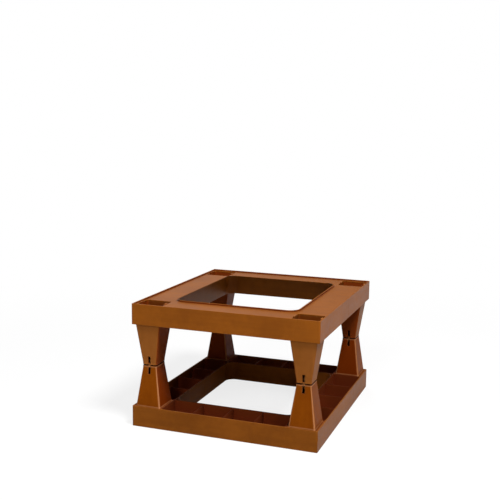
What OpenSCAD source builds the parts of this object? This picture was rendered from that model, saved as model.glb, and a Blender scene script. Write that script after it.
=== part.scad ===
// Moulded plastic hive stand: two identical ribbed frames, each with four hollow tapered legs,
// stood leg to leg and held together at the waists by flat joining keys.
// Millimetres. The origin is the middle of the ground face, X runs across the front, Y to the back.

/* [Stand] */
// Width across the front
stand_w = 460; // [400:1:560]
// Depth from front to back
stand_d = 510; // [440:1:640]
// Height from the ground to the face that carries the load
stand_h = 300; // [260:1:400]

/* [Frame] */
// Width of each rail, from its outer face to the opening
rail_w = 78; // [76:1:96]
// Height of the rails
rail_h = 50; // [40:1:64]
// Thickness of the outer and inner walls
wall_t = 3; // [2.4:0.1:3.8]
// Thickness of the web that closes one side of each rail
web_t = 3; // [2.4:0.1:5]
// How far the web lies behind the rim
web_recess = 4; // [3:0.1:7]
// Thickness of the cross ribs in the rails
rib_t = 2.5; // [1.8:0.1:4]
// How far the cross ribs stop short of the rim
rib_drop = 2; // [1:0.5:12]
// Rib cells along the front and back rails
cells_across = 4; // [2:1:9]
// Rib cells along the side rails
cells_deep = 4; // [2:1:10]
// Radius of the opening's corners
opening_r = 25; // [12:1:50]
// Radius of the frame's outer corners
frame_corner_r = 2.5; // [0.5:0.5:6]

/* [Legs] */
// Width of the shank across the front, where it leaves its foot
shank_w = 64; // [52:1:67]
// Depth of the shank from front to back, where it leaves its foot
shank_d = 69; // [52:0.5:69.5]
// Width of the leg across the front, at the waist
waist_w = 36; // [30:1:46]
// Depth of the leg from front to back, at the waist
waist_d = 48; // [36:1:56]
// Wall thickness of the leg
leg_t = 3; // [2:0.1:4]
// Corner radius of the shank at its foot
leg_corner_r = 5; // [2:0.5:9]
// Height of the straight collar next to the seam
collar_h = 6; // [4:0.5:12]
// Thickness of the plate that closes the leg at the seam
tip_t = 4; // [3.5:0.1:6]
// Height of the step round the seam, half of the groove that two legs leave between them
seam_step_h = 1.1; // [0.4:0.1:2]
// How far the step lies behind the leg's face
seam_step_in = 2.2; // [0.8:0.1:3]
// How far the top of the foot lies below the rim
foot_drop = 1; // [0.5:0.1:3]
// Thickness of the stiffening cross inside the leg
cross_t = 2.5; // [1.8:0.1:4]
// Height from the web at which the stiffening cross starts
cross_start = 10; // [6:1:16]
// Depth of clear hollow between the stiffening cross and the seam
key_room = 40; // [34:1:60]

/* [Snap clips] */
// Thickness of the two clips that hold a foot in its pocket
clip_t = 2.4; // [1.6:0.1:3.2]
// Width of a clip
clip_w = 14; // [8:1:24]
// Length of clip above the web
clip_rise = 24; // [18:1:30]
// How far the clip's nose laps over the web
clip_lap = 1.5; // [0.8:0.1:2.4]
// Thickness of the clip's nose
clip_nose_t = 1.7; // [1.2:0.1:2.4]

/* [Joining keys] */
// Thickness of the key
key_t = 5.6; // [3:0.1:7]
// Length of the key's tongue above the seam
tongue_l = 14; // [9:1:22]
// Length of the key's two prongs below the seam
prong_l = 14; // [11:1:22]
// Width of each prong at its root
prong_w = 6; // [4.5:0.5:8]
// How much each side of the tongue and of the prongs tapers in
key_taper = 3.5; // [1:0.5:4]
// Depth of the notch that the key's bar sits in, on each side of the seam
notch_d = 3; // [2:0.1:3.4]
// How far the bar's ends lie behind the leg's face
bar_inset = 1.2; // [0.2:0.1:2]
// How far each barb reaches into the wall of the leg
barb_reach = 0.8; // [0.4:0.1:1.6]
// Height of each barb
barb_h = 3; // [2:0.5:5]
// How far the ends of the slit for the key stay inside the hollow
slit_inset = 4; // [0.4:0.1:5]
// Height of the slots above and below the seam
slot_h = 17.5; // [10:0.5:22]
// Distance from the seam to the nearest end of a slot
slot_from_seam = 4.2; // [4.2:0.1:7]

/* [Clearances] */
// Clearance of a foot in its pocket and of its clips in the web, on each side
seat_gap = 0.3; // [0.1:0.05:0.6]
// Clearance of a key in its slits, slots and notches, on each side
key_gap = 0.3; // [0.1:0.05:0.6]

/* [Hidden] */
// Overlap of cuts past the faces that they open
cut = 1;
// Straight pieces that round a corner of a leg
corner_steps = 6;

seam_z = stand_h / 2;
web_top = web_recess + web_t;
opening_w = stand_w - 2 * rail_w;
opening_d = stand_d - 2 * rail_w;

pocket_w = rail_w - 2 * wall_t;
foot_w = pocket_w - 2 * seat_gap;
foot_hollow_w = foot_w - 2 * leg_t;
window_w = foot_hollow_w - 2 * seat_gap;
foot_top = rail_h - foot_drop;
collar_z = seam_z - collar_h;
leg_x = stand_w / 2 - rail_w / 2;
leg_y = stand_d / 2 - rail_w / 2;

slit_w = key_t + 2 * key_gap;
waist_hollow_d = waist_d - 2 * leg_t;
slit_l = waist_hollow_d - 2 * slit_inset;
tongue_w = slit_l - 2 * key_gap;
slot_near_z = seam_z - slot_from_seam;

frame_colour = [0.53, 0.29, 0.09];
leg_colour = [0.55, 0.29, 0.07];
key_colour = [0.58, 0.34, 0.14];

// Rectangle with true round corners
module rounded_rect(w, d, r) {
    square([w, d - 2 * r], center = true);
    square([w - 2 * r, d], center = true);
    for (sx = [-1, 1], sy = [-1, 1])
        translate([sx * (w / 2 - r), sy * (d / 2 - r)])
            circle(r = r, $fn = 64);
}

// Outline of the leg at any width and depth, with the shank's corners drawn out in proportion.
// Each corner is rounded by short straight pieces.
module leg_outline(w, d) {
    rx = leg_corner_r * w / shank_w;
    ry = leg_corner_r * d / shank_d;
    polygon([
        for (quarter = [0 : 3], step = [0 : corner_steps])
            let (
                mid = 45 + 90 * quarter,
                turn = 90 * (quarter + step / corner_steps)
            )
            [
                sign(cos(mid)) * (w / 2 - rx) + rx * cos(turn),
                sign(sin(mid)) * (d / 2 - ry) + ry * sin(turn)
            ]
    ]);
}

// Straight length of leg between two heights
module leg_prism(w, d, from_z, to_z) {
    translate([0, 0, from_z])
        linear_extrude(to_z - from_z)
            leg_outline(w, d);
}

// Tapered length of leg, from the shank to the waist, each less the same inset on every side
module leg_taper(inset, from_z, to_z) {
    from_w = shank_w - 2 * inset;
    from_d = shank_d - 2 * inset;
    to_w = waist_w - 2 * inset;
    to_d = waist_d - 2 * inset;
    translate([0, 0, from_z])
        linear_extrude(to_z - from_z, scale = [to_w / from_w, to_d / from_d], slices = 1, segments = 0)
            leg_outline(from_w, from_d);
}

// Open middle of a frame, grown outwards where a wall goes round it
module opening_outline(grow = 0) {
    rounded_rect(opening_w + 2 * grow, opening_d + 2 * grow, opening_r + grow);
}

// Space between the outer and inner walls of the rails
module trough_outline() {
    difference() {
        square([stand_w - 2 * wall_t, stand_d - 2 * wall_t], center = true);
        opening_outline(wall_t);
    }
}

// Walls that close the four corner pockets, in line with the inner walls
module pocket_walls() {
    for (side = [-1, 1]) {
        translate([side * (opening_w + wall_t) / 2, 0])
            square([wall_t, stand_d], center = true);
        translate([0, side * (opening_d + wall_t) / 2])
            square([stand_w, wall_t], center = true);
    }
}

// Cross ribs, evenly spaced between the corner pockets
module cross_ribs() {
    for (i = [1 : cells_across - 1])
        translate([opening_w * (i / cells_across - 0.5), 0])
            square([rib_t, stand_d], center = true);
    for (i = [1 : cells_deep - 1])
        translate([0, opening_d * (i / cells_deep - 0.5)])
            square([stand_w, rib_t], center = true);
}

// One frame as it stands on the ground: web below, ribbed troughs and corner pockets open above
module frame() {
    difference() {
        linear_extrude(rail_h)
            difference() {
                rounded_rect(stand_w, stand_d, frame_corner_r);
                opening_outline();
            }
        translate([0, 0, rail_h - rib_drop])
            linear_extrude(rib_drop + cut)
                difference() {
                    trough_outline();
                    pocket_walls();
                }
        translate([0, 0, web_top])
            linear_extrude(rail_h - web_top + cut)
                difference() {
                    trough_outline();
                    pocket_walls();
                    cross_ribs();
                }
        translate([0, 0, -cut])
            linear_extrude(web_recess + cut)
                trough_outline();
        for (sx = [-1, 1], sy = [-1, 1])
            translate([sx * leg_x, sy * leg_y, 0])
                leg_prism(window_w, window_w, 0, web_top + cut);
    }
}

module leg_outside() {
    step_z = seam_z - seam_step_h;
    leg_prism(foot_w, foot_w, web_top, foot_top);
    leg_taper(0, foot_top, collar_z);
    leg_prism(waist_w, waist_d, collar_z, step_z);
    leg_prism(waist_w - 2 * seam_step_in, waist_d - 2 * seam_step_in, step_z, seam_z);
}

module leg_hollow() {
    ledge_z = foot_top - leg_t;
    leg_prism(foot_hollow_w, foot_hollow_w, web_top - cut, ledge_z);
    leg_taper(leg_t, ledge_z, collar_z);
    leg_prism(waist_w - 2 * leg_t, waist_hollow_d, collar_z, seam_z - tip_t);
}

// Cross of two plates that stiffens the hollow below the key
module stiffening_cross() {
    start_z = web_top + cross_start;
    end_z = seam_z - key_room;
    for (turn = [0, 90])
        rotate([0, 0, turn])
            translate([-foot_w / 2, -cross_t / 2, start_z])
                cube([foot_w, cross_t, end_z - start_z]);
}

// Slits, slots and notches that take the joining key
module key_cuts() {
    translate([-slit_w / 2, -slit_l / 2, seam_z - tip_t - cut])
        cube([slit_w, slit_l, tip_t + 2 * cut]);
    translate([-slit_w / 2, -waist_d, seam_z - notch_d])
        cube([slit_w, 2 * waist_d, notch_d + cut]);
    translate([-slit_w / 2, -waist_d, slot_near_z - slot_h])
        cube([slit_w, 2 * waist_d, slot_h]);
}

// Clip that hangs from the stiffening cross, passes the web and laps over its far face
module snap_clip() {
    face_x = window_w / 2 - seat_gap;
    nose_top = web_recess - seat_gap;
    translate([face_x, clip_w / 2, 0])
        rotate([90, 0, 0])
            linear_extrude(clip_w) {
                translate([-clip_t, nose_top - clip_nose_t])
                    square([clip_t, web_top + clip_rise - nose_top + clip_nose_t]);
                polygon([
                    [-clip_t, nose_top - clip_nose_t],
                    [0, nose_top - clip_nose_t],
                    [clip_lap + seat_gap, nose_top - clip_nose_t / 3],
                    [clip_lap + seat_gap, nose_top],
                    [-clip_t, nose_top]
                ]);
            }
}

// One hollow leg as it stands in the lower frame
module leg() {
    difference() {
        leg_outside();
        difference() {
            leg_hollow();
            stiffening_cross();
        }
        key_cuts();
    }
    for (turn = [0, 180])
        rotate([0, 0, turn])
            snap_clip();
}

// Outline of the joining key seen from the side, with the seam at zero height:
// tongue above, bar across the seam, two barbed prongs below
module key_outline() {
    bar_l = waist_d - 2 * bar_inset;
    barb_top = -slot_from_seam - key_gap;
    barb_tip = waist_hollow_d / 2 + barb_reach;
    right = [
        [tongue_w / 2 - key_taper, tongue_l],
        [tongue_w / 2, tip_t + key_gap],
        [tongue_w / 2, notch_d - key_gap],
        [bar_l / 2, notch_d - key_gap],
        [bar_l / 2, -notch_d],
        [tongue_w / 2, -notch_d],
        [tongue_w / 2, barb_top],
        [barb_tip, barb_top],
        [barb_tip, barb_top - barb_h / 3],
        [tongue_w / 2, barb_top - barb_h],
        [tongue_w / 2 - key_taper, -prong_l]
    ];
    left = [for (i = [len(right) - 1 : -1 : 0]) [-right[i].x, right[i].y]];
    fork_gap = tongue_w - 2 * prong_w;
    difference() {
        polygon(concat(right, left));
        translate([-fork_gap / 2, -prong_l - cut])
            square([fork_gap, prong_l - notch_d + cut]);
    }
}

module joining_key() {
    translate([-key_t / 2, 0, seam_z])
        rotate([90, 0, 90])
            linear_extrude(key_t)
                key_outline();
}

// Puts a piece on one corner: side is -1 left or 1 right, end is -1 front or 1 back
module at_corner(side, end) {
    translate([side * leg_x, end * leg_y, 0])
        children();
}

// Turns a piece of the lower half over into the upper half
module turned_over() {
    translate([0, 0, stand_h])
        rotate([180, 0, 0])
            children();
}

module lower_frame() {
    color(frame_colour)
        frame();
}

module upper_frame() {
    color(frame_colour)
        turned_over()
            frame();
}

module lower_leg(side, end) {
    color(leg_colour)
        at_corner(side, end)
            leg();
}

module upper_leg(side, end) {
    color(leg_colour)
        at_corner(side, end)
            turned_over()
                leg();
}

module corner_key(side, end) {
    color(key_colour)
        at_corner(side, end)
            joining_key();
}

lower_frame();
lower_leg(-1, -1);  // lower_leg_front_left
lower_leg(1, -1);  // lower_leg_front_right
lower_leg(-1, 1);  // lower_leg_back_left
lower_leg(1, 1);  // lower_leg_back_right
corner_key(-1, -1);  // joining_key_front_left
corner_key(1, -1);  // joining_key_front_right
corner_key(-1, 1);  // joining_key_back_left
corner_key(1, 1);  // joining_key_back_right
upper_leg(-1, -1);  // upper_leg_front_left
upper_leg(1, -1);  // upper_leg_front_right
upper_leg(-1, 1);  // upper_leg_back_left
upper_leg(1, 1);  // upper_leg_back_right
upper_frame();
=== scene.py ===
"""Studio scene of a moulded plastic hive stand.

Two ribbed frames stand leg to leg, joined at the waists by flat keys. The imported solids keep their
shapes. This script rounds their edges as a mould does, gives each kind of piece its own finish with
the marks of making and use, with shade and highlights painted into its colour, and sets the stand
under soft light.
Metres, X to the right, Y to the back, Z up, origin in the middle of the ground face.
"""

import logging
import math
from dataclasses import dataclass, field
from enum import Enum
from typing import Mapping, Optional, Sequence, Union

import bpy
import numpy as np
from mathutils import Matrix, Vector


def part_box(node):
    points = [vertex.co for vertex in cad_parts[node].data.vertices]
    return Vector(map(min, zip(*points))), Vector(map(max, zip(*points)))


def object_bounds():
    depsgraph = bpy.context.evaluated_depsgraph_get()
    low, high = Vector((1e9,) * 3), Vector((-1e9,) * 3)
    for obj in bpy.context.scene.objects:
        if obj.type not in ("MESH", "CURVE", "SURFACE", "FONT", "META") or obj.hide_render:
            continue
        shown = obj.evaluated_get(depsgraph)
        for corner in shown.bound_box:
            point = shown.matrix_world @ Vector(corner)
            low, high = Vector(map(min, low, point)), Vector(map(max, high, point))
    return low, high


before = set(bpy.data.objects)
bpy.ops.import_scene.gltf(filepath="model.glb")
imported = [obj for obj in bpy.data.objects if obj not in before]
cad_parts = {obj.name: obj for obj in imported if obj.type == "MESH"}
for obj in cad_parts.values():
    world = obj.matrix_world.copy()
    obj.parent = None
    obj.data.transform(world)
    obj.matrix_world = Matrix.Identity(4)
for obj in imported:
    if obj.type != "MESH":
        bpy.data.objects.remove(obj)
CAD_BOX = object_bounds()

MM = 0.001
MID_NOISE = 0.5
WHITE = (1.0, 1.0, 1.0, 1.0)
BLACK = (0.0, 0.0, 0.0, 1.0)
# Where a Mix node keeps its sockets for colours.
MIX_SHARE, MIX_FIRST, MIX_SECOND, MIX_RESULT = 0, 6, 7, 2

Value = Union["Wire", float, Sequence[float]]
Axes = tuple["Wire", "Wire", "Wire"]
Colour = tuple[int, int, int]
Span = tuple[float, float]

log = logging.getLogger("hive_stand")


class Half(Enum):
    """The two halves of the stand, as the names of their nodes start."""

    LOWER = "lower"
    UPPER = "upper"


class Flow(Enum):
    """The way that the plastic ran as it filled the mould."""

    ALONG_RAILS = "along the rails"
    ALONG_HEIGHT = "along the height"


class Wire:
    """Output socket of a shader node, on which arithmetic can be written."""

    def __init__(self, sheet: "NodeSheet", socket: Optional[bpy.types.NodeSocket]) -> None:
        """Keeps the socket and the sheet that it belongs to."""
        self.sheet = sheet
        self.socket = socket

    def _math(self, operation: str, first: Value, second: Value) -> "Wire":
        """Output of a new Math node."""
        return self.sheet.node("ShaderNodeMath", {"operation": operation}, {0: first, 1: second})

    def __add__(self, other: Value) -> "Wire":
        """Sum."""
        return self._math("ADD", self, other)

    def __radd__(self, other: Value) -> "Wire":
        """Sum with a number on the left."""
        return self._math("ADD", other, self)

    def __sub__(self, other: Value) -> "Wire":
        """Difference."""
        return self._math("SUBTRACT", self, other)

    def __rsub__(self, other: Value) -> "Wire":
        """Difference from a number."""
        return self._math("SUBTRACT", other, self)

    def __mul__(self, other: Value) -> "Wire":
        """Product."""
        return self._math("MULTIPLY", self, other)

    def __rmul__(self, other: Value) -> "Wire":
        """Product with a number on the left."""
        return self._math("MULTIPLY", other, self)

    def __abs__(self) -> "Wire":
        """Size without its sign."""
        return self._math("ABSOLUTE", self, 0.0)

    def sign(self) -> "Wire":
        """1 above zero and -1 below it."""
        return self._math("SIGN", self, 0.0)

    def lesser(self, other: Value) -> "Wire":
        """The smaller of two values."""
        return self._math("MINIMUM", self, other)

    def greater(self, other: Value) -> "Wire":
        """The larger of two values."""
        return self._math("MAXIMUM", self, other)

    def folded(self, width: float) -> "Wire":
        """Value that runs to and fro between 0 and a width."""
        return self._math("PINGPONG", self, width)


class NodeSheet:
    """Node tree of a material or of the world, filled by expressions."""

    def __init__(self, tree: bpy.types.NodeTree) -> None:
        """Empties the tree."""
        self.tree = tree
        tree.nodes.clear()

    def node(
        self,
        kind: str,
        settings: Optional[Mapping[str, object]] = None,
        values: Optional[Mapping[Union[str, int], Value]] = None,
        output: Union[str, int] = 0,
    ) -> Wire:
        """Adds any node.

        Args:
            kind: Type name of the node.
            settings: Properties, set before the sockets.
            values: Numbers, colours or wires for the inputs, by name or index.
            output: Name or index of the output that is wanted.

        Returns:
            That output, or an empty wire from a node that has none.
        """
        made = self.tree.nodes.new(kind)
        for name, setting in (settings or {}).items():
            setattr(made, name, setting)
        for key, value in (values or {}).items():
            if isinstance(value, Wire):
                self.tree.links.new(value.socket, made.inputs[key])
            else:
                made.inputs[key].default_value = value
        return Wire(self, made.outputs[output] if made.outputs else None)

    def noise(self, place: Wire, scale: float, detail: float = 3.0, rough: float = 0.55) -> Wire:
        """Cloudy noise from 0 to 1.

        Args:
            place: Coordinates in metres.
            scale: Features per metre.
            detail: Octaves.
            rough: Share of each finer octave.

        Returns:
            The noise value.
        """
        values = {"Vector": place, "Scale": scale, "Detail": detail, "Roughness": rough}
        return self.node("ShaderNodeTexNoise", None, values, "Fac")

    def stretch(self, place: Wire, factors: Sequence[float]) -> Wire:
        """Coordinates scaled by one factor for each axis."""
        return self.node("ShaderNodeVectorMath", {"operation": "MULTIPLY"}, {0: place, 1: factors})

    def length(self, vector: Wire) -> Wire:
        """Length of a vector."""
        return self.node("ShaderNodeVectorMath", {"operation": "LENGTH"}, {0: vector}, "Value")

    def ramp(self, value: Wire, low: float, high: float) -> Wire:
        """Smooth step that is 0 at low and 1 at high."""
        values = {"Value": value, "From Min": low, "From Max": high}
        return self.node("ShaderNodeMapRange", {"interpolation_type": "SMOOTHSTEP"}, values)

    def blend(self, share: Value, first: Value, second: Value) -> Wire:
        """Colour that goes from the first to the second as the share goes from 0 to 1."""
        values = {MIX_SHARE: share, MIX_FIRST: first, MIX_SECOND: second}
        return self.node("ShaderNodeMix", {"data_type": "RGBA"}, values, MIX_RESULT)

    def split(self, vector: Wire) -> Axes:
        """Three parts of a vector."""
        outputs = self.node("ShaderNodeSeparateXYZ", None, {0: vector}).socket.node.outputs
        return tuple(Wire(self, outputs[axis]) for axis in "XYZ")

    def mix_shaders(self, share: Value, first: Wire, second: Wire) -> Wire:
        """Shader that goes from the first to the second as the share goes from 0 to 1."""
        return self.node("ShaderNodeMixShader", None, {0: share, 1: first, 2: second})

    def finish(self, shader: Wire, kind: str = "ShaderNodeOutputMaterial") -> None:
        """Leads a shader to the tree's output."""
        self.node(kind, None, {"Surface": shader})


def new_material(name: str) -> tuple[bpy.types.Material, NodeSheet]:
    """Adds a material with an empty node tree.

    Args:
        name: Name of the material.

    Returns:
        The material and its sheet.
    """
    made = bpy.data.materials.new(name)
    made.use_nodes = True
    return made, NodeSheet(made.node_tree)


def linear(colour: Sequence[float]) -> tuple[float, float, float, float]:
    """Turns a display colour into the linear one that shaders take.

    The display curve is undone channel by channel: a straight piece near black, a power above it.

    Args:
        colour: Red, green and blue from 0 to 255 as a screen shows them.

    Returns:
        Linear red, green, blue and an alpha of 1.
    """
    straight_end, slope, offset, power = 0.04045, 12.92, 0.055, 2.4
    shown = np.asarray(colour, float) / 255.0
    curved = ((shown + offset) / (1.0 + offset)) ** power
    plain = np.where(shown <= straight_end, shown / slope, curved)
    return (*plain.tolist(), 1.0)


@dataclass(frozen=True)
class Surface:
    """What the marks on a piece read at each point of it."""

    sheet: NodeSheet
    axes: Axes
    facing: Axes
    speckle: Wire
    streak: Wire


@dataclass(frozen=True)
class Cover:
    """How thickly something lies: an even share, and a share that follows a noise."""

    even: float
    patchy: float = 0.0

    def over(self, noise: Wire) -> Value:
        """Share at each point."""
        return self.even + self.patchy * noise if self.patchy else self.even


@dataclass(frozen=True, kw_only=True)
class Mark:
    """Mark of making or use, or painted shade or highlight, that lies over the plain finish."""

    colour: Colour
    cover: Cover
    roughening: float = 0.0

    def share(self, surface: Surface) -> Wire:
        """How much of the mark shows at each point."""
        raise NotImplementedError


@dataclass(frozen=True, kw_only=True)
class CornerHighlight(Mark):
    """Painted highlight along the upright corners, where a normal has a share of both level axes."""

    span: Span = (0.12, 0.55)

    def share(self, surface: Surface) -> Wire:
        """1 in the middle of a corner, 0 on the faces beside it, times the cover."""
        level = abs(surface.facing[0]).lesser(abs(surface.facing[1]))
        return surface.sheet.ramp(level, *self.span) * self.cover.over(surface.streak)


@dataclass(frozen=True, kw_only=True)
class EndHighlight(Mark):
    """Painted highlight: a paler line round a leg at one height."""

    height: float
    width: float = 2.5 * MM

    def share(self, surface: Surface) -> Wire:
        """1 at the height and 0 a width away from it, times the cover."""
        near = 1.0 - surface.sheet.ramp(abs(surface.axes[2] - self.height), 0.0, self.width)
        return near * self.cover.over(surface.speckle)


@dataclass(frozen=True, kw_only=True)
class SeamShade(Mark):
    """Painted shade: a dark band along the groove where two legs meet."""

    height: float
    half_width: float = 1.7 * MM
    softness: float = 0.1

    def share(self, surface: Surface) -> Wire:
        """1 within half a width of the seam, 0 outside it, times the cover.

        Args:
            surface: What the mark reads.

        Returns:
            The share.
        """
        away = abs(surface.axes[2] - self.height)
        low, high = self.half_width * (1.0 - self.softness), self.half_width * (1.0 + self.softness)
        return (1.0 - surface.sheet.ramp(away, low, high)) * self.cover.over(surface.speckle)


@dataclass(frozen=True, kw_only=True)
class InwardShade(Mark):
    """Painted shade: a deeper, redder colour on the faces that look into the stand."""

    span: Span = (0.3, 0.8)

    def share(self, surface: Surface) -> Wire:
        """1 on faces that look towards the middle, 0 on the others, times the cover.

        Args:
            surface: What the mark reads.

        Returns:
            The share.
        """
        across, deep = (0.0 - part * axis.sign() for axis, part in zip(surface.axes[:2], surface.facing))
        return surface.sheet.ramp(across.greater(deep), *self.span) * self.cover.over(surface.speckle)


@dataclass(frozen=True)
class Region:
    """Space about the middle of the stand, up to a height."""

    reach: tuple[float, float]
    top: float
    margin: float = 0.5 * MM

    def inside(self, surface: Surface) -> Wire:
        """Tells the region from the rest.

        Args:
            surface: What the region reads.

        Returns:
            1 inside and 0 outside, with a narrow step between.
        """
        sheet = surface.sheet
        within = 1.0 - sheet.ramp(surface.axes[2], self.top, self.top + self.margin)
        for axis, reach in zip(surface.axes, self.reach):
            within = within * (1.0 - sheet.ramp(abs(axis), reach - self.margin, reach))
        return within


@dataclass(frozen=True, kw_only=True)
class ShadedTroughs(Mark):
    """Painted shade on the ribs and walls inside the rails, which are also made rougher."""

    outer: Region
    inner: Region

    def share(self, surface: Surface) -> Wire:
        """1 between the walls of the rails, 0 elsewhere, times the cover."""
        between = self.outer.inside(surface) - self.inner.inside(surface)
        return between * self.cover.over(surface.speckle)


@dataclass(frozen=True, kw_only=True)
class ShadedLedges(Mark):
    """Painted shade on the ledges that look up, which are also made rougher."""

    region: Region
    span: Span = (0.2, 0.8)

    def share(self, surface: Surface) -> Wire:
        """1 on faces in the region that look up, 0 elsewhere, times the cover."""
        ledges = self.region.inside(surface) * surface.sheet.ramp(surface.facing[2], *self.span)
        return ledges * self.cover.over(surface.speckle)


@dataclass(frozen=True)
class SinkMarks:
    """Faint upright dips in the walls, opposite the ribs that meet their backs."""

    pitch: tuple[float, float]
    half_width: float = 5 * MM
    depth: float = 0.12 * MM

    def depths(self, surface: Surface) -> Wire:
        """Depth of the dips.

        Ribs stand at whole pitches from the middle, so the distance to the nearest one is the place
        folded to and fro within half a pitch.

        Args:
            surface: What the dips read.

        Returns:
            Depth in metres, 0 away from the ribs.
        """
        dips = [
            (1.0 - surface.sheet.ramp(along.folded(pitch / 2), 0.0, self.half_width)) * abs(wall)
            for along, wall, pitch in zip(surface.axes, reversed(surface.facing[:2]), self.pitch)
        ]
        return (dips[0] + dips[1]) * self.depth


@dataclass(frozen=True)
class Shades:
    """Colours of one plastic and of the shade and highlights painted on it: red, green and blue from 0
    to 255 as a screen shows them.
    """

    plain: Colour
    deep: Colour
    # Partly edge wear, partly a painted highlight on the edges.
    edge: Colour
    # Painted shade in the hollows.
    hollow_shade_colour: Colour
    # Dirt and painted shade in creases and corners.
    grime_and_shade: Colour = (46, 24, 12)
    dust: Colour = (150, 124, 96)


@dataclass(frozen=True, kw_only=True)
class MouldedPlastic:
    """Finish of a coloured moulding: clouded colour, flow streaks, fine grain, shade painted into its
    hollows and creases, and highlights painted on its edges.
    """

    name: str
    shades: Shades
    flow: Flow
    marks: tuple[Mark, ...] = ()
    sinks: Optional[SinkMarks] = None
    shine: float = 0.065
    refraction: float = 1.49

    cloud_scale: float = 7.0
    speckle_scale: float = 60.0
    streak_scale: float = 90.0
    streak_stretch: float = 0.06
    grain_scale: float = 1400.0
    grain_depth: float = 0.05 * MM
    streak_depth: float = 0.02 * MM

    cloud_part: float = 0.5
    speckle_part: float = 0.25
    streak_part: float = 0.25
    tone_span: Span = (0.34, 0.66)

    # Edge wear with a painted highlight, within this reach.
    edge_reach: float = 1.3 * MM
    edge_span: Span = (0.12, 0.62)
    edge_cover: Cover = Cover(0.1125, 0.25)
    # Dirt and painted shade in creases and corners, within this reach.
    grime_and_shade_reach: float = 14 * MM
    grime_and_shade_span: Span = (0.30, 0.95)
    grime_and_shade_cover: Cover = Cover(0.175, 0.35)
    # Painted shade: within this reach, hollows take a darker, redder colour.
    hollow_shade_reach: float = 60 * MM
    hollow_shade_span: Span = (0.06, 0.50)
    hollow_shade_cover: Cover = Cover(0.85)
    upward_span: Span = (0.55, 0.98)
    dust_cover: Cover = Cover(0.02, 0.06)

    roughness: float = 0.42
    rough_speckle: float = 0.16
    rough_streak: float = 0.12
    rough_crease: float = 0.10
    rough_upward: float = 0.35
    smooth_edge: float = 0.08
    hollow_samples: int = 8

    def _streaks(self, sheet: NodeSheet, place: Wire, facing: Axes) -> Wire:
        """Long thin noise along the way that the plastic ran.

        Args:
            sheet: Tree to fill.
            place: Coordinates in metres.
            facing: Parts of the surface normal.

        Returns:
            Noise from 0 to 1.
        """
        thin = self.streak_stretch
        if self.flow is Flow.ALONG_HEIGHT:
            return sheet.noise(sheet.stretch(place, (1.0, 1.0, thin)), self.streak_scale)
        across = sheet.noise(sheet.stretch(place, (thin, 1.0, 1.0)), self.streak_scale)
        along = sheet.noise(sheet.stretch(place, (1.0, thin, 1.0)), self.streak_scale)
        return across + abs(facing[0]) * (along - across)

    def _hollow(self, sheet: NodeSheet, reach: float, span: Span, inside: bool = False) -> Wire:
        """How much of the space within reach the piece takes up.

        Args:
            sheet: Tree to fill.
            reach: Distance looked over, in metres.
            span: Shares at which the answer is 0 and 1.
            inside: Looks into the material, for the air behind an outer edge.

        Returns:
            0 on an open face, towards 1 in a tight corner or on a sharp edge.
        """
        settings = {"samples": self.hollow_samples, "inside": inside, "only_local": True}
        open_share = sheet.node("ShaderNodeAmbientOcclusion", settings, {"Distance": reach}, "AO")
        return sheet.ramp(1.0 - open_share, *span)

    def material(self) -> bpy.types.Material:
        """Builds the finish.

        Returns:
            The new material.
        """
        made, sheet = new_material(self.name)
        place = sheet.node("ShaderNodeTexCoord", output="Object")
        facing = sheet.split(sheet.node("ShaderNodeTexCoord", output="Normal"))
        surface = Surface(
            sheet,
            axes=sheet.split(place),
            facing=facing,
            speckle=sheet.noise(place, self.speckle_scale, detail=4.0, rough=0.6),
            streak=self._streaks(sheet, place, facing),
        )
        colour, rough = self._tint(surface, sheet.noise(place, self.cloud_scale))
        shell = sheet.node(
            "ShaderNodeBsdfPrincipled",
            None,
            {
                "Base Color": colour,
                "Roughness": rough,
                "Normal": self._relief(surface, sheet.noise(place, self.grain_scale, detail=2.0)),
                "Specular IOR Level": self.shine,
                "IOR": self.refraction,
            },
        )
        sheet.finish(shell)
        return made

    def _tint(self, surface: Surface, cloud: Wire) -> tuple[Wire, Wire]:
        """Colour and roughness: the plain plastic, then painted shade in the hollows, dirt with painted
        shade in the creases, dust, wear with a painted highlight on the edges, and marks over it.

        Args:
            surface: What the layers read.
            cloud: Large soft noise.

        Returns:
            The colour and the roughness.
        """
        sheet, speckle, streak = surface.sheet, surface.speckle, surface.streak
        edge = self._hollow(sheet, self.edge_reach, self.edge_span, inside=True)
        grime_and_shade = self._hollow(sheet, self.grime_and_shade_reach, self.grime_and_shade_span)
        hollow_shade = self._hollow(sheet, self.hollow_shade_reach, self.hollow_shade_span)
        upward = sheet.ramp(surface.facing[2], *self.upward_span)
        mixed = self.cloud_part * cloud + self.speckle_part * speckle + self.streak_part * streak
        tone = sheet.ramp(mixed, *self.tone_span)
        colour = sheet.blend(tone, linear(self.shades.deep), linear(self.shades.plain))
        layers = (
            # Painted shade in the hollows.
            (hollow_shade * self.hollow_shade_cover.over(speckle), self.shades.hollow_shade_colour),
            # Dirt and painted shade in creases and corners.
            (grime_and_shade * self.grime_and_shade_cover.over(speckle), self.shades.grime_and_shade),
            (upward * self.dust_cover.over(speckle), self.shades.dust),
            # Edge wear with a painted highlight.
            (edge * self.edge_cover.over(speckle), self.shades.edge),
        )
        for share, shade in layers:
            colour = sheet.blend(share, colour, linear(shade))
        rough = self.roughness + self.rough_speckle * (speckle - MID_NOISE)
        rough = rough + self.rough_streak * (streak - MID_NOISE)
        rough = rough + self.rough_crease * grime_and_shade + self.rough_upward * upward
        rough = rough - self.smooth_edge * edge
        for mark in self.marks:
            share = mark.share(surface)
            colour = sheet.blend(share, colour, linear(mark.colour))
            if mark.roughening:
                rough = rough + mark.roughening * share
        return colour, rough

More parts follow.
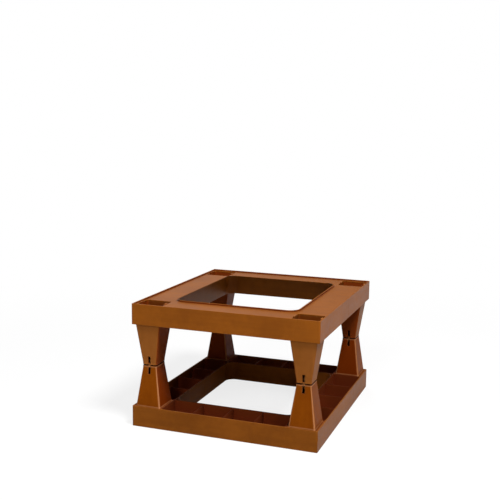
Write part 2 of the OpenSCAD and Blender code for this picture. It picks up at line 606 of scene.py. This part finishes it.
    def _relief(self, surface: Surface, grain: Wire) -> Wire:
        """Normal bent by the grain, the flow streaks and the dips opposite the ribs.

        Args:
            surface: What the relief reads.
            grain: Fine noise.

        Returns:
            The bent normal.
        """
        height = grain * self.grain_depth + (surface.streak - MID_NOISE) * self.streak_depth
        if self.sinks:
            height = height - self.sinks.depths(surface)
        values = {"Strength": 1.0, "Distance": 1.0, "Height": height}
        return surface.sheet.node("ShaderNodeBump", None, values, "Normal")


@dataclass(frozen=True)
class EdgeRounding:
    """Small round that a mould leaves on the edges of a piece."""

    radius: float
    least_turn: float = math.radians(35)
    steps: int = 3
    same_point: float = 0.01 * MM
    same_plane: float = math.radians(1)

    def apply(self, piece: bpy.types.Object) -> None:
        """Joins the loose triangles, clears flat faces of their inner lines, and rounds the edges.

        Args:
            piece: Object to round, by modifiers that leave its mesh alone.
        """
        weld = piece.modifiers.new("join_triangles", "WELD")
        weld.merge_threshold = self.same_point
        flat = piece.modifiers.new("clear_flat_faces", "DECIMATE")
        flat.decimate_type = "DISSOLVE"
        flat.angle_limit = self.same_plane
        edges = piece.modifiers.new("round_edges", "BEVEL")
        edges.width = self.radius
        edges.segments = self.steps
        edges.limit_method = "ANGLE"
        edges.angle_limit = self.least_turn
        edges.use_clamp_overlap = False
        edges.harden_normals = True


def dress(start: str, finish: MouldedPlastic, rounding: EdgeRounding) -> None:
    """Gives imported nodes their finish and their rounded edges.

    Args:
        start: How the names of the nodes start.
        finish: Finish of all their faces.
        rounding: Rounding of their edges.
    """
    material = finish.material()
    for node in sorted(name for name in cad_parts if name.startswith(start)):
        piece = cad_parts[node]
        piece.data.materials.clear()
        piece.data.materials.append(material)
        rounding.apply(piece)
        log.info("dressed %s in %s", node, material.name)


@dataclass
class RailFrame:
    """One ribbed frame of the stand; the upper one is painted a little lighter than the lower one, for
    the light that falls more on it, and the lower one has shade painted into its rails.
    """

    half: Half
    rail_width: float = 78 * MM
    cells: tuple[int, int] = (4, 4)
    wall: float = 3 * MM
    rim: float = 4 * MM
    skin: float = 0.1 * MM
    edge_radius: float = 0.7 * MM
    # Edge wear with a painted highlight on the frames, kept faint.
    edge_cover: Cover = Cover(0.054, 0.12)
    # Painted shade in the troughs of the lower frame.
    trough_shade_colour: Colour = (104, 40, 15)
    trough_shade_cover: Cover = Cover(0.8)
    trough_roughening: float = 0.5
    # Painted shade on the ledges inside the rails.
    ledge_shade_colour: Colour = (56, 20, 8)
    ledge_shade_cover: Cover = Cover(0.56, 0.48)
    ledge_roughening: float = 0.4

    @property
    def node(self) -> str:
        """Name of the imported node."""
        return f"{self.half.value}_frame"

    def _sinks(self) -> SinkMarks:
        """Dips at the pitch of the ribs, which share the opening evenly.

        Returns:
            The marks.
        """
        low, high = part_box(self.node)
        opening = [high[axis] - low[axis] - 2 * self.rail_width for axis in range(2)]
        return SinkMarks((opening[0] / self.cells[0], opening[1] / self.cells[1]))

    def _region(self, inset: float) -> Region:
        """Space below the rim of the frame, a distance in from its outer faces."""
        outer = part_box(self.node)[1]
        return Region((outer.x - inset, outer.y - inset), outer.z)

    def _lower_finish(self) -> MouldedPlastic:
        """Finish of the frame on the ground.

        Returns:
            The finish.
        """
        within_rim = self._region(self.rim)
        middle = self._region(self.rail_width - self.wall + self.skin)
        # Painted shade on the ribs and walls inside the rails.
        troughs = ShadedTroughs(
            colour=self.trough_shade_colour,
            cover=self.trough_shade_cover,
            roughening=self.trough_roughening,
            outer=within_rim,
            inner=middle,
        )
        # Painted shade on the ledges inside the rails that look up.
        ledge_shade = ShadedLedges(
            colour=self.ledge_shade_colour,
            cover=self.ledge_shade_cover,
            roughening=self.ledge_roughening,
            region=within_rim,
        )
        return MouldedPlastic(
            name="lower_frame_plastic",
            shades=Shades(
                plain=(133, 74, 18), deep=(116, 63, 14), edge=(160, 98, 44), hollow_shade_colour=(94, 31, 10)
            ),
            flow=Flow.ALONG_RAILS,
            marks=(troughs, ledge_shade),
            sinks=self._sinks(),
            shine=0.05,
            edge_cover=self.edge_cover,
        )

    def _upper_finish(self) -> MouldedPlastic:
        """Finish of the frame that carries the load.

        Returns:
            The finish.
        """
        return MouldedPlastic(
            name="upper_frame_plastic",
            shades=Shades(
                # Painted a little lighter than the lower frame, for the light that falls more on the
                # upper one.
                plain=(140, 77, 15), deep=(124, 66, 11), edge=(164, 102, 48), hollow_shade_colour=(94, 31, 10)
            ),
            flow=Flow.ALONG_RAILS,
            sinks=self._sinks(),
            shine=0.075,
            edge_cover=self.edge_cover,
        )

    def build(self) -> None:
        """Dresses the frame."""
        finish = self._lower_finish() if self.half is Half.LOWER else self._upper_finish()
        dress(self.node, finish, EdgeRounding(self.edge_radius))


@dataclass
class LegSet:
    """The four hollow legs of one half; the lower ones have highlights painted along their corners and
    at their ends.
    """

    half: Half
    edge_radius: float = 0.4 * MM
    shine: float = 0.02
    # Painted shade in the hollows of the legs.
    leg_hollow_shade_colour: Colour = (92, 36, 4)
    # Dirt and painted shade in creases, and painted shade along the seam.
    grime_and_shade_colour: Colour = (36, 10, 5)
    # Painted shade on the faces that look into the stand.
    lower_inward_shade: Colour = (112, 41, 3)
    upper_inward_shade: Colour = (118, 47, 11)
    inward_shade_cover: Cover = Cover(0.88)
    # Painted shade along the seam.
    seam_cover: Cover = Cover(0.92)
    # Painted highlight along the corners of the lower legs.
    corner_highlight_cover: Cover = Cover(0.33, 0.44)
    # Painted highlight lines at the ends of the lower legs.
    end_highlight_cover: Cover = Cover(0.2, 0.4)
    lip_below_seam: float = 3.2 * MM
    foot_above_rim: float = 1.2 * MM

    @property
    def seam(self) -> float:
        """Height at which the legs meet."""
        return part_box("upper_leg_front_left")[0].z

    def _seam_shade(self) -> SeamShade:
        """Painted shade in the groove between the legs."""
        return SeamShade(colour=self.grime_and_shade_colour, cover=self.seam_cover, height=self.seam)

    def _lower_finish(self) -> MouldedPlastic:
        """Finish of the legs below the seam.

        Returns:
            The finish.
        """
        shades = Shades(
            plain=(126, 62, 5),
            deep=(111, 52, 3),
            edge=(196, 136, 90),
            hollow_shade_colour=self.leg_hollow_shade_colour,
            grime_and_shade=self.grime_and_shade_colour,
        )
        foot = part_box("lower_frame")[1].z + self.foot_above_rim
        # Painted highlight lines just below the seam and just above the frame's rim.
        ends = [
            EndHighlight(colour=shades.edge, cover=self.end_highlight_cover, height=height)
            for height in (self.seam - self.lip_below_seam, foot)
        ]
        # Painted shade on the faces that look into the stand.
        inward = InwardShade(colour=self.lower_inward_shade, cover=self.inward_shade_cover)
        # Painted highlight along the corners.
        corners = CornerHighlight(colour=shades.edge, cover=self.corner_highlight_cover)
        return MouldedPlastic(
            name="lower_leg_plastic",
            shades=shades,
            flow=Flow.ALONG_HEIGHT,
            marks=(inward, corners, *ends, self._seam_shade()),
            shine=self.shine,
        )

    def _upper_finish(self) -> MouldedPlastic:
        """Finish of the legs above the seam.

        Returns:
            The finish.
        """
        # Painted shade on the faces that look into the stand.
        inward = InwardShade(colour=self.upper_inward_shade, cover=self.inward_shade_cover)
        return MouldedPlastic(
            name="upper_leg_plastic",
            shades=Shades(
                # Painted paler and greyer than the lower legs, for the light that the floor throws up
                # onto their faces, which tilt down.
                plain=(147, 87, 36),
                deep=(132, 76, 28),
                edge=(176, 116, 66),
                hollow_shade_colour=self.leg_hollow_shade_colour,
                grime_and_shade=self.grime_and_shade_colour,
            ),
            flow=Flow.ALONG_HEIGHT,
            marks=(inward, self._seam_shade()),
            shine=self.shine,
        )

    def build(self) -> None:
        """Dresses the legs."""
        finish = self._lower_finish() if self.half is Half.LOWER else self._upper_finish()
        dress(f"{self.half.value}_leg_", finish, EdgeRounding(self.edge_radius))


@dataclass
class KeySet:
    """The four flat keys that join the halves."""

    edge_radius: float = 0.3 * MM

    def build(self) -> None:
        """Dresses the keys."""
        finish = MouldedPlastic(
            name="key_plastic",
            shades=Shades(
                plain=(140, 88, 44), deep=(122, 74, 34), edge=(180, 128, 82), hollow_shade_colour=(84, 44, 18)
            ),
            flow=Flow.ALONG_HEIGHT,
        )
        dress("joining_key_", finish, EdgeRounding(self.edge_radius))


def polar(azimuth: float, elevation: float) -> Vector:
    """Direction from the object, with azimuth 0 in front and 90 to the right, in degrees."""
    turn, rise = math.radians(azimuth), math.radians(elevation)
    return Vector((math.sin(turn) * math.cos(rise), -math.cos(turn) * math.cos(rise), math.sin(rise)))


@dataclass(frozen=True)
class SoftBox:
    """Large soft lamp that looks at the stand."""

    name: str
    azimuth: float
    elevation: float
    distance: float
    size: float
    level: float

    def build(self, aim: Vector) -> None:
        """Adds the lamp; at level 1 it alone would show a white face turned to it as white.

        Args:
            aim: Point that it looks at.
        """
        data = bpy.data.lights.new(self.name, "AREA")
        data.shape = "DISK"
        data.size = self.size
        data.energy = self.level * math.pi**2 * self.distance**2
        lamp = bpy.data.objects.new(self.name, data)
        back = polar(self.azimuth, self.elevation)
        lamp.location = aim + back * self.distance
        lamp.rotation_mode = "QUATERNION"
        lamp.rotation_quaternion = (-back).to_track_quat("-Z", "Y")
        bpy.context.scene.collection.objects.link(lamp)
        log.info("lamp %s", self.name)


@dataclass(frozen=True)
class Viewpoint:
    """Camera of the photograph, from a fit to the stand's own edges."""

    yaw: float = 19.973
    pitch: float = 8.719
    roll: float = 0.712
    distance: float = 2.12908
    aside: float = -0.025597
    above: float = 0.253026
    focal_pixels: float = 827.76
    picture_pixels: float = 500.0
    sensor: float = 36.0

    def build(self, middle: Vector) -> None:
        """Adds the camera.

        Args:
            middle: Middle of the stand, which the camera's offsets start from.
        """
        back = polar(self.yaw, self.pitch)
        right = Vector((0, 0, 1)).cross(back).normalized()
        up = back.cross(right)
        place = middle + back * self.distance + right * self.aside + up * self.above
        lean = math.radians(self.roll)
        across = right * math.cos(lean) + up * math.sin(lean)
        upward = up * math.cos(lean) - right * math.sin(lean)
        data = bpy.data.cameras.new("viewpoint")
        data.sensor_fit = "HORIZONTAL"
        data.sensor_width = self.sensor
        data.lens = self.focal_pixels / self.picture_pixels * self.sensor
        camera = bpy.data.objects.new("viewpoint", data)
        turn = Matrix((across, upward, back)).transposed().to_4x4()
        camera.matrix_world = Matrix.Translation(place) @ turn
        bpy.context.scene.collection.objects.link(camera)
        bpy.context.scene.camera = camera
        log.info("camera with a lens of %.1f mm", data.lens)


def flat_sheet(
    name: str, reach: tuple[float, float], height: float, finish: bpy.types.Material
) -> bpy.types.Object:
    """Adds a level sheet to the stage, whose corners are all signs of its reach.

    Args:
        name: Name of the sheet.
        reach: Distance from the middle to the sides, across and in depth.
        height: Height above the ground.
        finish: Its material.

    Returns:
        The sheet.
    """
    signs = np.array([(-1, -1), (1, -1), (1, 1), (-1, 1)], float)
    corners = np.column_stack([signs * reach, np.full(len(signs), height)])
    mesh = bpy.data.meshes.new(name)
    mesh.from_pydata(corners.tolist(), [], [(0, 1, 2, 3)])
    mesh.materials.append(finish)
    sheet = bpy.data.objects.new(name, mesh)
    bpy.context.scene.collection.objects.link(sheet)
    log.info("stage %s", name)
    return sheet


@dataclass(frozen=True)
class Scrim:
    """Dark net over the opening, which holds light back from the middle as a load on the stand does."""

    half_width: float = 150 * MM
    half_depth: float = 175 * MM
    height: float = 304 * MM
    held_back: float = 0.95

    def _material(self) -> bpy.types.Material:
        """Black net, open by the share of light that it lets through.

        Returns:
            The material.
        """
        made, sheet = new_material("dark_net")
        black = sheet.node("ShaderNodeBsdfDiffuse", None, {"Color": BLACK})
        clear = sheet.node("ShaderNodeBsdfTransparent")
        sheet.finish(sheet.mix_shaders(self.held_back, clear, black))
        return made

    def build(self) -> None:
        """Adds the net, which throws a shadow but is itself never seen."""
        net = flat_sheet("scrim", (self.half_width, self.half_depth), self.height, self._material())
        net.visible_camera = False
        net.visible_glossy = False
        net.visible_transmission = False


@dataclass
class Studio:
    """Pale floor, white surroundings, soft lamps and the camera."""

    floor_reach: float = 30.0
    floor_colour: float = 0.90
    floor_bounce: float = 0.50
    floor_glow: float = 0.78
    fade_span: Span = (0.6, 1.8)
    ambient: float = 0.05
    overhead: float = 0.30
    overhead_span: Span = (0.15, 0.45)
    lamps: tuple[SoftBox, ...] = (
        SoftBox("key_lamp", azimuth=54, elevation=57, distance=4.0, size=1.2, level=1.10),
        SoftBox("front_lamp", azimuth=0, elevation=35, distance=4.0, size=1.0, level=0.335),
        SoftBox("back_lamp", azimuth=212, elevation=25, distance=4.0, size=2.2, level=0.42),
    )
    scrim: Scrim = field(default_factory=Scrim)
    viewpoint: Viewpoint = field(default_factory=Viewpoint)

    @staticmethod
    def _ray(sheet: NodeSheet, kind: str) -> Wire:
        """1 for rays of one kind."""
        return sheet.node("ShaderNodeLightPath", output=kind)

    def _seen(self, sheet: NodeSheet) -> Wire:
        """1 for what the camera sees straight on, in a reflection or through glass.

        Args:
            sheet: Tree to fill.

        Returns:
            1 or 0.
        """
        kinds = ("Is Camera Ray", "Is Glossy Ray", "Is Transmission Ray")
        camera, glossy, through = (self._ray(sheet, kind) for kind in kinds)
        return sheet.node("ShaderNodeClamp", None, {"Value": camera + glossy + through})

    def _floor_material(self) -> bpy.types.Material:
        """Pale floor with the shadow near the stand, which fades to plain white further out.

        Returns:
            The material.
        """
        made, sheet = new_material("pale_floor")
        reach = sheet.length(sheet.node("ShaderNodeTexCoord", output="Object"))
        away = sheet.ramp(reach, *self.fade_span)
        seen = self._seen(sheet)
        shade = self.floor_bounce + seen * (self.floor_colour - self.floor_bounce)
        matt = sheet.node("ShaderNodeBsdfDiffuse", None, {"Color": shade})
        white = sheet.node("ShaderNodeEmission", None, {"Color": WHITE, "Strength": 1.0})
        near = self._ray(sheet, "Is Camera Ray") * (self.floor_glow * (1.0 - away))
        sheet.finish(sheet.mix_shaders(seen * away + near, matt, white))
        return made

    def _add_world(self) -> None:
        """Sets surroundings that look white low down and dim overhead, and give little light."""
        world = bpy.data.worlds.new("surroundings")
        world.use_nodes = True
        sheet = NodeSheet(world.node_tree)
        height = sheet.split(sheet.node("ShaderNodeTexCoord", output="Generated"))[2]
        dim = (self.overhead,) * 3 + (1.0,)
        view = sheet.blend(sheet.ramp(height, *self.overhead_span), WHITE, dim)
        light = sheet.node("ShaderNodeBackground", None, {"Color": WHITE, "Strength": self.ambient})
        shown = sheet.node("ShaderNodeBackground", None, {"Color": view, "Strength": 1.0})
        sheet.finish(sheet.mix_shaders(self._seen(sheet), light, shown), "ShaderNodeOutputWorld")
        bpy.context.scene.world = world

    def build(self) -> None:
        """Adds all of it."""
        low, high = CAD_BOX
        middle = (low + high) / 2
        flat_sheet("floor", (self.floor_reach, self.floor_reach), 0.0, self._floor_material())
        self.scrim.build()
        self._add_world()
        for lamp in self.lamps:
            lamp.build(middle)
        self.viewpoint.build(middle)
        bpy.context.scene.view_settings.view_transform = "Standard"


def main() -> None:
    """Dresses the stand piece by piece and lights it."""
    logging.basicConfig(level=logging.INFO, format="%(name)s: %(message)s")
    for half in Half:
        RailFrame(half).build()
        LegSet(half).build()
    KeySet().build()
    Studio().build()


if __name__ == "__main__":
    main()
